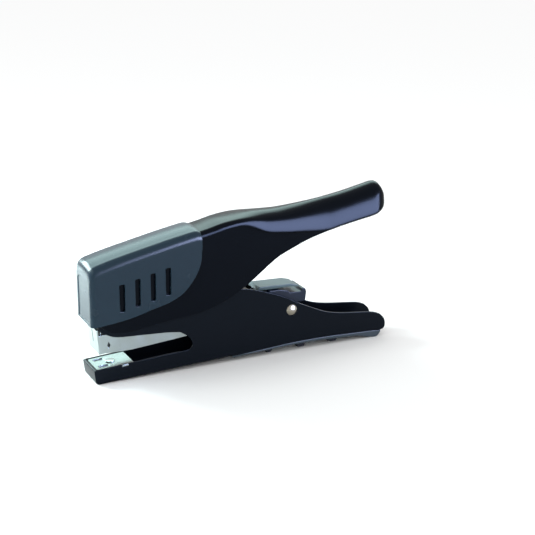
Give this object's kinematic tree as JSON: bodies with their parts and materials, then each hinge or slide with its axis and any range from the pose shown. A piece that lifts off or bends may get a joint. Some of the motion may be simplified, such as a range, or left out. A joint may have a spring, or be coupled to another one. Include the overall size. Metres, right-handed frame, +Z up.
{
  "type": "plier stapler",
  "caption": "Plier stapler with a steel C-frame and anvil arm, a hollow upper handle under a slotted nose cap, and a rear-loading swinging magazine.",
  "frame": {"origin": "centre of the bounding box in plan, on the surface that the stapler stands on", "axes": "+X from the nose to the handles, +Y across the object, +Z up"},
  "size_m": [0.1647, 0.024, 0.0842],
  "materials": {
    "black_paint": "satin black paint on pressed steel",
    "slate_plastic": "semi-gloss slate-grey moulded plastic",
    "slate_trim": "satin slate-blue moulded plastic",
    "bright_steel": "bright plated sheet steel",
    "nickel": "nickel-plated steel",
    "spring_wire": "drawn spring wire",
    "follower_plastic": "dark moulded plastic",
    "rubber": "black rubber"
  },
  "bodies": {
    "frame": {"frame_shell": "black_paint", "anvil_plate": "bright_steel", "anvil_rivet": "bright_steel", "main_rivet": "nickel", "fulcrum_pin": "nickel", "sole_strip": "slate_trim", "sole_screws": "nickel", "grip_pad_1": "rubber", "grip_pad_2": "rubber", "grip_pad_3": "rubber", "spring_seat": "bright_steel", "lift_spring": "spring_wire"},
    "lever": {"lever_shell": "black_paint", "fulcrum_bushes": "nickel", "nose_cap": "slate_plastic", "roller_pin": "nickel"},
    "roller": {"pressure_roller": "nickel"},
    "magazine": {"magazine_channel": "bright_steel", "nose_plate": "bright_steel", "staple_core": "bright_steel"},
    "driver": {"driver_arm": "black_paint", "driver_blade": "bright_steel", "blade_rivets": "bright_steel"},
    "loader": {"loader_knob": "slate_trim", "guide_rod": "nickel", "rod_clip": "nickel", "latch_pin": "nickel", "latch_spring": "spring_wire", "follower_spring": "spring_wire"},
    "latch": {"latch": "slate_trim"},
    "follower": {"follower": "follower_plastic"}
  },
  "joints": [
    {"name": "lever_squeeze", "type": "hinge", "parent": "frame", "child": "lever", "pos_m": [-0.0725, 0, 0.046], "axis": [0, 1, 0], "range_deg": [0, 12], "stiffness_Nm_per_rad": 4, "springref_deg": -5.73},
    {"name": "magazine_swing", "type": "hinge", "parent": "frame", "child": "magazine", "pos_m": [0.0265, 0, 0.023], "axis": [0, -1, 0], "range_deg": [0, 3.7], "deforming": ["lift_spring"]},
    {"name": "driver_swing", "type": "hinge", "parent": "frame", "child": "driver", "pos_m": [0.0265, 0, 0.023], "axis": [0, -1, 0], "range_deg": [0, 7.4]},
    {"name": "roller_spin", "type": "hinge", "parent": "lever", "child": "roller", "pos_m": [-0.0344, 0, 0.045], "axis": [0, 1, 0], "continuous": true},
    {"name": "loader_slide", "type": "slide", "parent": "magazine", "child": "loader", "axis": [0.9965, 0, 0.0837], "range_m": [0, 0.08]},
    {"name": "follower_slide", "type": "slide", "parent": "loader", "child": "follower", "axis": [0.9965, 0, 0.0837], "range_m": [0, 0.05], "stiffness_N_per_m": 40, "springref_m": -0.02, "deforming": ["follower_spring"]},
    {"name": "latch_press", "type": "hinge", "parent": "loader", "child": "latch", "pos_m": [0.02, 0, 0.033], "axis": [0, 1, 0], "range_deg": [0, 8], "stiffness_Nm_per_rad": 0.05, "springref_deg": -11.46, "deforming": ["latch_spring"]}
  ],
  "couplings": [
    {"joint": "magazine_swing", "follows": "lever_squeeze", "ratio": 0.3083},
    {"joint": "driver_swing", "follows": "lever_squeeze", "ratio": 0.6166}
  ]
}
